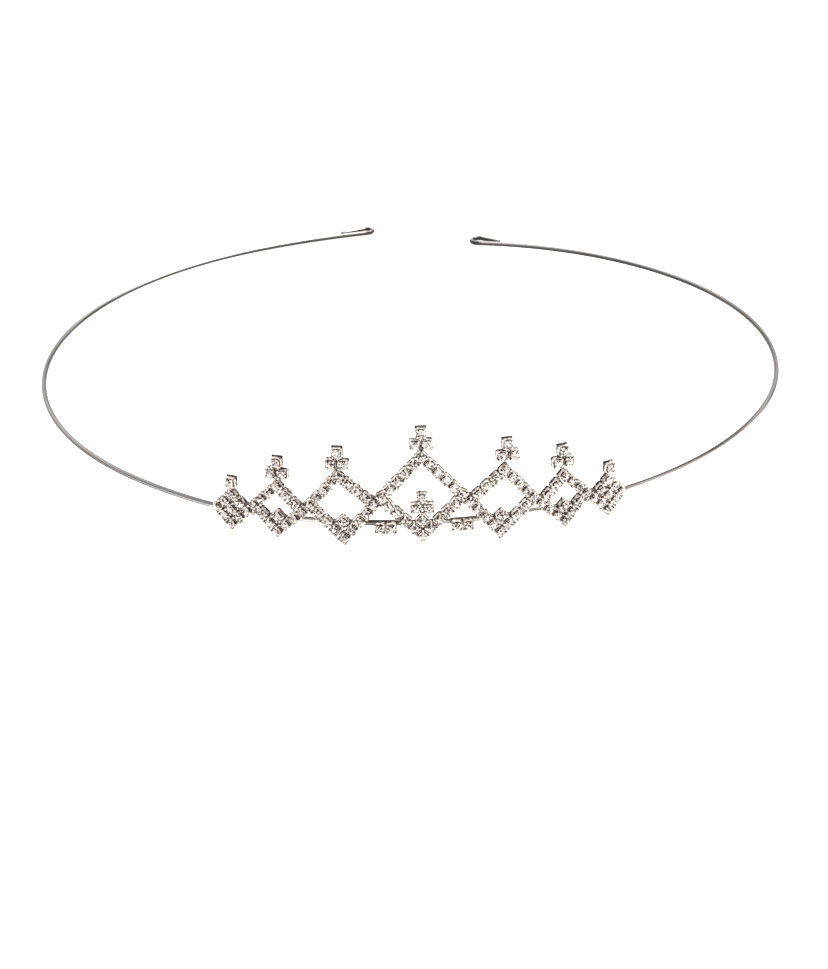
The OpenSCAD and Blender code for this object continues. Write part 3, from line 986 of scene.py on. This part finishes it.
def repeat_tree(name, material, smooth=False, facets=False):
    """Puts a shape on every point, turned by the point's turn and sized by its spread."""
    tree, given = new_tree(name, {"Shape": "NodeSocketObject", "Seed": "NodeSocketInt"})
    inputs = {"Object": given.outputs["Shape"], "As Instance": True}
    shape = add_node(tree, "GeometryNodeObjectInfo", inputs)
    turn, spread = (
        add_node(tree, "GeometryNodeInputNamedAttribute", {"Name": label}, data_type="FLOAT_VECTOR")
        for label in ("turn", "spread")
    )
    inputs = {
        "Points": given.outputs["Geometry"],
        "Instance": output_of(shape, "Geometry"),
        "Rotation": add_node(tree, "FunctionNodeEulerToRotation", {"Euler": turn}),
        "Scale": spread,
    }
    geometry = add_node(tree, "GeometryNodeInstanceOnPoints", inputs)
    if facets:
        geometry = cut_stones(tree, geometry, given.outputs["Seed"])
    return finish_tree(tree, geometry, material, smooth)


# Settings


def colour_property(label, text, default):
    """A hex colour that a user would change."""
    return bpy.props.StringProperty(name=label, description=text, default=default)


def length_property(label, text, default):
    """A length in metres that a user would change."""
    return bpy.props.FloatProperty(
        name=label, description=text, default=default, subtype="DISTANCE", unit="LENGTH"
    )


def light_property(label, text, default):
    """A brightness that a user would change."""
    return bpy.props.FloatProperty(name=label, description=text, default=default, min=0.0)


class TiaraSizes(bpy.types.PropertyGroup):
    """Sizes of the tiara's pieces."""

    wire_thickness: length_property(
        "Wire thickness", "Thickness of the round headband wire", 2 * WIRE_R * MM
    )
    wire_sides: bpy.props.IntProperty(
        name="Wire sides", description="Faces around the wire", default=24, min=8
    )
    wire_step: length_property("Wire step", "Length of one piece of the wire's path", 0.0012)
    scallop: length_property("Scallop", "How far a cup's wall dips between its prongs", 0.0003)
    prong_width: length_property(
        "Prong width", "Width of a prong where it leaves the wall", 0.00036
    )
    prong_reach: length_property("Prong reach", "How far a prong folds in over its stone", 0.0002)
    stone_width: length_property("Stone width", "Width of a stone at its girdle", 0.00175)
    table_share: bpy.props.FloatProperty(
        name="Table share",
        description="Width of the flat table as a share of the stone",
        default=0.52,
        min=0.3,
        max=0.8,
        subtype="FACTOR",
    )
    crown_height: length_property(
        "Crown height", "Height of a stone from its girdle to its table", 0.00034
    )
    lip_width: length_property(
        "Lip width", "Width of the dark solder lip on top of each finial", 0.0023
    )
    web_width: length_property("Web width", "Width of the solder web above each crossing", 0.0021)
    web_sag: length_property("Web sag", "How deep the web's top edge is hollowed", 0.0005)
    web_depth: length_property("Web depth", "Depth of the solder web, back to front", 0.0011)


class TiaraFinishes(bpy.types.PropertyGroup):
    """Colours of the tiara's finishes, as sRGB hex values."""

    # The wire's tones are painted light, from a painted highlight down to the darkest painted shade
    wire_light: colour_property("Wire, polished", "Polished side of the wire", "#DEDBD8")
    wire_middle: colour_property("Wire, middle", "Half polished plating", "#B9B5B2")
    wire_shade: colour_property("Wire, dull", "Dull plating", "#8C8783")
    wire_darkest_shade: colour_property("Wire, film", "Dark film on the far side", "#45423E")
    # The bright cup tone is partly a painted highlight on the rim and prongs, the tarnished one
    # partly painted shade low in the cup
    cup_light: colour_property("Cup, bright", "Bright plating on prongs and walls", "#E2D8D0")
    cup_middle: colour_property("Cup, dull", "Dull plating on the walls", "#AC9D92")
    cup_shade: colour_property("Cup, tarnished", "Patches of tarnish", "#241D1B")
    solder_light: colour_property("Solder, light", "Bright grains of solder", "#A8A49E")
    solder_shade: colour_property("Solder, dark", "Dull grains of solder", "#736E67")
    # The dark reddish brown of the webs and the lips
    dark_solder_light: colour_property("Flux, light", "Thin flux on webs and lips", "#6B5A55")
    dark_solder_shade: colour_property("Flux, dark", "Burnt flux on webs and lips", "#241B1A")
    # The facet tones are painted reflections of the lit room, the dark room and the cup
    facet_black: colour_property("Facet, black", "Facets with no light in them", "#1F1916")
    facet_brown: colour_property("Facet, brown", "Facets that see the dark cup", "#6F5B52")
    facet_beige: colour_property("Facet, beige", "Facets with a warm cast", "#CBB9AF")
    facet_pale: colour_property("Facet, pale", "Facets with soft light", "#E2D7D0")
    facet_white: colour_property("Facet, white", "Facets in full light", "#F6EEE9")
    table_light: colour_property("Table, light", "Matt white table", "#FFFFFF")
    table_shade: colour_property("Table, shade", "Faint clouds in the table", "#FBFBFA")


class TiaraStudio(bpy.types.PropertyGroup):
    """Light and camera of the studio."""

    key_power: bpy.props.FloatProperty(
        name="Key light",
        description="Power of the soft light above and to the right",
        default=6.0,
        min=0.0,
        subtype="POWER",
        unit="POWER",
    )
    table_glow: light_property("Table glow", "Light that comes up through the opal table", 0.75)
    room_light: light_property("Room light", "Brightness of the dim room", 0.1)
    overhead: light_property("Overhead softbox", "Brightness of the softbox over the table", 1.4)
    side_window: light_property("Side window", "Brightness of the window at the right", 1.6)
    left_card: light_property("Left card", "Brightness of the grey card at the left", 0.45)
    back_card: light_property("Back card", "Brightness of the card behind the table", 1.5)
    front_card: light_property("Front card", "Brightness of the card under the camera", 0.8)
    lens: bpy.props.FloatProperty(
        name="Lens",
        description="Focal length on a 36 mm wide sensor, in millimetres",
        default=109.22,
        min=10.0,
        subtype="DISTANCE_CAMERA",
        unit="CAMERA",
    )


# Operators


class TIARA_OT_band(bpy.types.Operator):
    """Sweep the round wire of the headband with both end loops"""

    bl_idname = "tiara.band"
    bl_label = "Headband wire"

    def execute(self, context):
        sizes, look = context.scene.tiara_sizes, context.scene.tiara_finishes
        points, girth = band_path(sizes.wire_step / MM)
        # The painted light direction and the painted shade at each point of the path
        polished, painted_shade = band_painted_light(points)
        path = bpy.data.meshes.new("band_path")
        seated = [SEAT @ (Vector((p.x, p.y, 0)) * MM) for p in points]
        path.from_pydata(seated, [(k, k + 1) for k in range(len(seated) - 1)], [])
        for label, column in (("girth", girth), ("painted_shade", painted_shade)):
            path.attributes.new(label, "FLOAT", "POINT").data.foreach_set("value", column)
        store_rows(path, "polished", polished)
        tree = wire_tree(plated_wire(look))
        values = {"Thickness": sizes.wire_thickness, "Sides": sizes.wire_sides}
        band = grown("headband_wire", path, tree, values)
        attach(band, "root")
        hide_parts("frame")
        return {"FINISHED"}


class TIARA_OT_cups(bpy.types.Operator):
    """Set a pronged cup at every stone"""

    bl_idname = "tiara.cups"
    bl_label = "Stone cups"

    def execute(self, context):
        sizes, look = context.scene.tiara_sizes, context.scene.tiara_finishes
        seats = [seat_of(p, cup_turn(p)) for p in ALL_STONES]
        tree = repeat_tree("cups_on_points", plated_cup(look))
        cups = repeated("stone_cups", seats, cup_mesh(sizes), tree)
        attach(cups, "root")
        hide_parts("frame")
        return {"FINISHED"}


class TIARA_OT_solder(bpy.types.Operator):
    """Join the cups to each other and to the band with solder"""

    bl_idname = "tiara.solder"
    bl_label = "Solder"

    def execute(self, context):
        sizes, look = context.scene.tiara_sizes, context.scene.tiara_finishes
        plated = soft_solder("plated_soft_solder", look.solder_shade, look.solder_light)
        # The webs and the lips are a dark reddish brown
        darkened = soft_solder("dark_reddish_solder", look.dark_solder_shade, look.dark_solder_light)
        seats, spread = zip(*solder_blobs())
        tree = repeat_tree("solder_on_points", plated, smooth=True)
        bars = repeated("solder_joints", seats, blob_mesh(), tree, spread)
        tree = repeat_tree("webs_on_points", darkened)
        seats = [seat_of(turn(crossing(i))) for i in range(3) for turn in (Vector, flip)]
        webs = repeated("solder_webs", seats, web_mesh(sizes), tree)
        seats = [seat_of(point) for node in TOP_NODES for point in PLACES[node]]
        lips = repeated("solder_lips", seats, lip_mesh(sizes), tree)
        for piece in (bars, webs, lips):
            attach(piece, "root")
            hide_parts("frame")
        return {"FINISHED"}


class TIARA_OT_stones(bpy.types.Operator):
    """Set a cut stone in every cup"""

    bl_idname = "tiara.stones"
    bl_label = "Cut stones"

    def execute(self, context):
        sizes, look = context.scene.tiara_sizes, context.scene.tiara_finishes
        tree = repeat_tree("stones_on_points", foiled_crystal(look), facets=True)
        for seed, (node, points) in enumerate(PLACES.items(), start=1):
            seats = [seat_of(p) for p in points]
            stones = repeated(f"{node}_cut", seats, stone_mesh(sizes), tree, seed=seed)
            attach(stones, "root")
            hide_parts(node)
        return {"FINISHED"}


class TIARA_OT_stage(bpy.types.Operator):
    """Lay the table, light the studio and place the camera"""

    bl_idname = "tiara.stage"
    bl_label = "Studio"

    def execute(self, context):
        scene, studio = context.scene, context.scene.tiara_studio
        table = bmesh.new()
        bmesh.ops.create_grid(table, x_segments=1, y_segments=1, size=TABLE_HALF)
        floor = piece_of("table_top", mesh_of("table_top", table))
        floor.data.materials.append(studio_table(scene.tiara_finishes, studio.table_glow))
        self.light_room(scene, studio)
        self.place_camera(scene, studio)
        scene.view_settings.view_transform = "Standard"
        return {"FINISHED"}

    def light_room(self, scene, studio):
        """A dim studio with a softbox overhead, a window at the right and three pale cards."""
        world = bpy.data.worlds.new("dim_studio")
        scene.world = world
        world.use_nodes = True
        tree = world.node_tree
        tree.nodes.clear()
        where = output_of(add_node(tree, "ShaderNodeTexCoord"), "Generated")
        total = studio.room_light
        for setting, middle, edge in BRIGHT_PATCHES:
            inputs = {0: where, 1: Vector(middle).normalized()}
            toward = add_node(tree, "ShaderNodeVectorMath", inputs, operation="DOT_PRODUCT")
            gain = getattr(studio, setting)
            inputs = {"Value": output_of(toward, "Value"), "From Min": edge, "To Max": gain}
            patch = add_node(tree, "ShaderNodeMapRange", inputs, interpolation_type="SMOOTHSTEP")
            total = add_node(tree, "ShaderNodeMath", {0: total, 1: patch}, operation="ADD")
        light = add_node(tree, "ShaderNodeBackground", {"Strength": total})
        add_node(tree, "ShaderNodeOutputWorld", {"Surface": light})
        lamp = bpy.data.lights.new("key_light", "AREA")
        lamp.energy = studio.key_power
        lamp.size = KEY_SIZE
        key = bpy.data.objects.new("key_light", lamp)
        key.location = KEY_PLACE
        key.rotation_euler = Vector(KEY_PLACE).to_track_quat("Z", "Y").to_euler()
        scene.collection.objects.link(key)

    def place_camera(self, scene, studio):
        """The photograph's viewpoint, which stays with the band however it is seated."""
        heading, tilt, roll = (math.radians(a) for a in CAMERA_ANGLES)
        ahead = Vector(
            (math.sin(heading) * math.cos(tilt), math.cos(heading) * math.cos(tilt), math.sin(tilt))
        )
        level = Vector((math.cos(heading), -math.sin(heading), 0))
        right = level * math.cos(roll) + level.cross(ahead) * math.sin(roll)
        up = right.cross(ahead)
        turn = Matrix((right, up, -ahead)).transposed().to_4x4()
        lens = bpy.data.cameras.new("camera")
        lens.sensor_fit = "HORIZONTAL"
        lens.sensor_width = SENSOR_WIDTH
        lens.lens = studio.lens
        lens.clip_start = 0.01
        camera = bpy.data.objects.new("camera", lens)
        camera.matrix_world = SEAT @ Matrix.Translation(Vector(CAMERA_PLACE) * MM) @ turn
        scene.collection.objects.link(camera)
        scene.camera = camera


class TIARA_PT_panel(bpy.types.Panel):
    """Lists the tiara's pieces and their settings"""

    bl_idname = "TIARA_PT_panel"
    bl_label = "Rhinestone tiara"
    bl_space_type = "VIEW_3D"
    bl_region_type = "UI"
    bl_category = "Tiara"

    def draw(self, context):
        for maker in OPERATORS:
            self.layout.operator(maker.bl_idname)
        for label, group in GROUPS.items():
            for name in group.__annotations__:
                self.layout.prop(getattr(context.scene, label), name)


GROUPS = {
    "tiara_sizes": TiaraSizes,
    "tiara_finishes": TiaraFinishes,
    "tiara_studio": TiaraStudio,
}
OPERATORS = (
    TIARA_OT_stage,
    TIARA_OT_band,
    TIARA_OT_cups,
    TIARA_OT_solder,
    TIARA_OT_stones,
)


def register():
    """Registers the settings, the operators and the panel."""
    for name, group in GROUPS.items():
        bpy.utils.register_class(group)
        setattr(bpy.types.Scene, name, bpy.props.PointerProperty(type=group))
    for maker in (*OPERATORS, TIARA_PT_panel):
        bpy.utils.register_class(maker)


def unregister():
    """Takes back what register() added."""
    for maker in (TIARA_PT_panel, *reversed(OPERATORS)):
        bpy.utils.unregister_class(maker)
    for name, group in reversed(GROUPS.items()):
        delattr(bpy.types.Scene, name)
        bpy.utils.unregister_class(group)


def main():
    """Makes every piece."""
    register()
    bpy.ops.tiara.stage()
    bpy.ops.tiara.band()
    bpy.ops.tiara.cups()
    bpy.ops.tiara.solder()
    bpy.ops.tiara.stones()


if __name__ == "__main__":
    main()
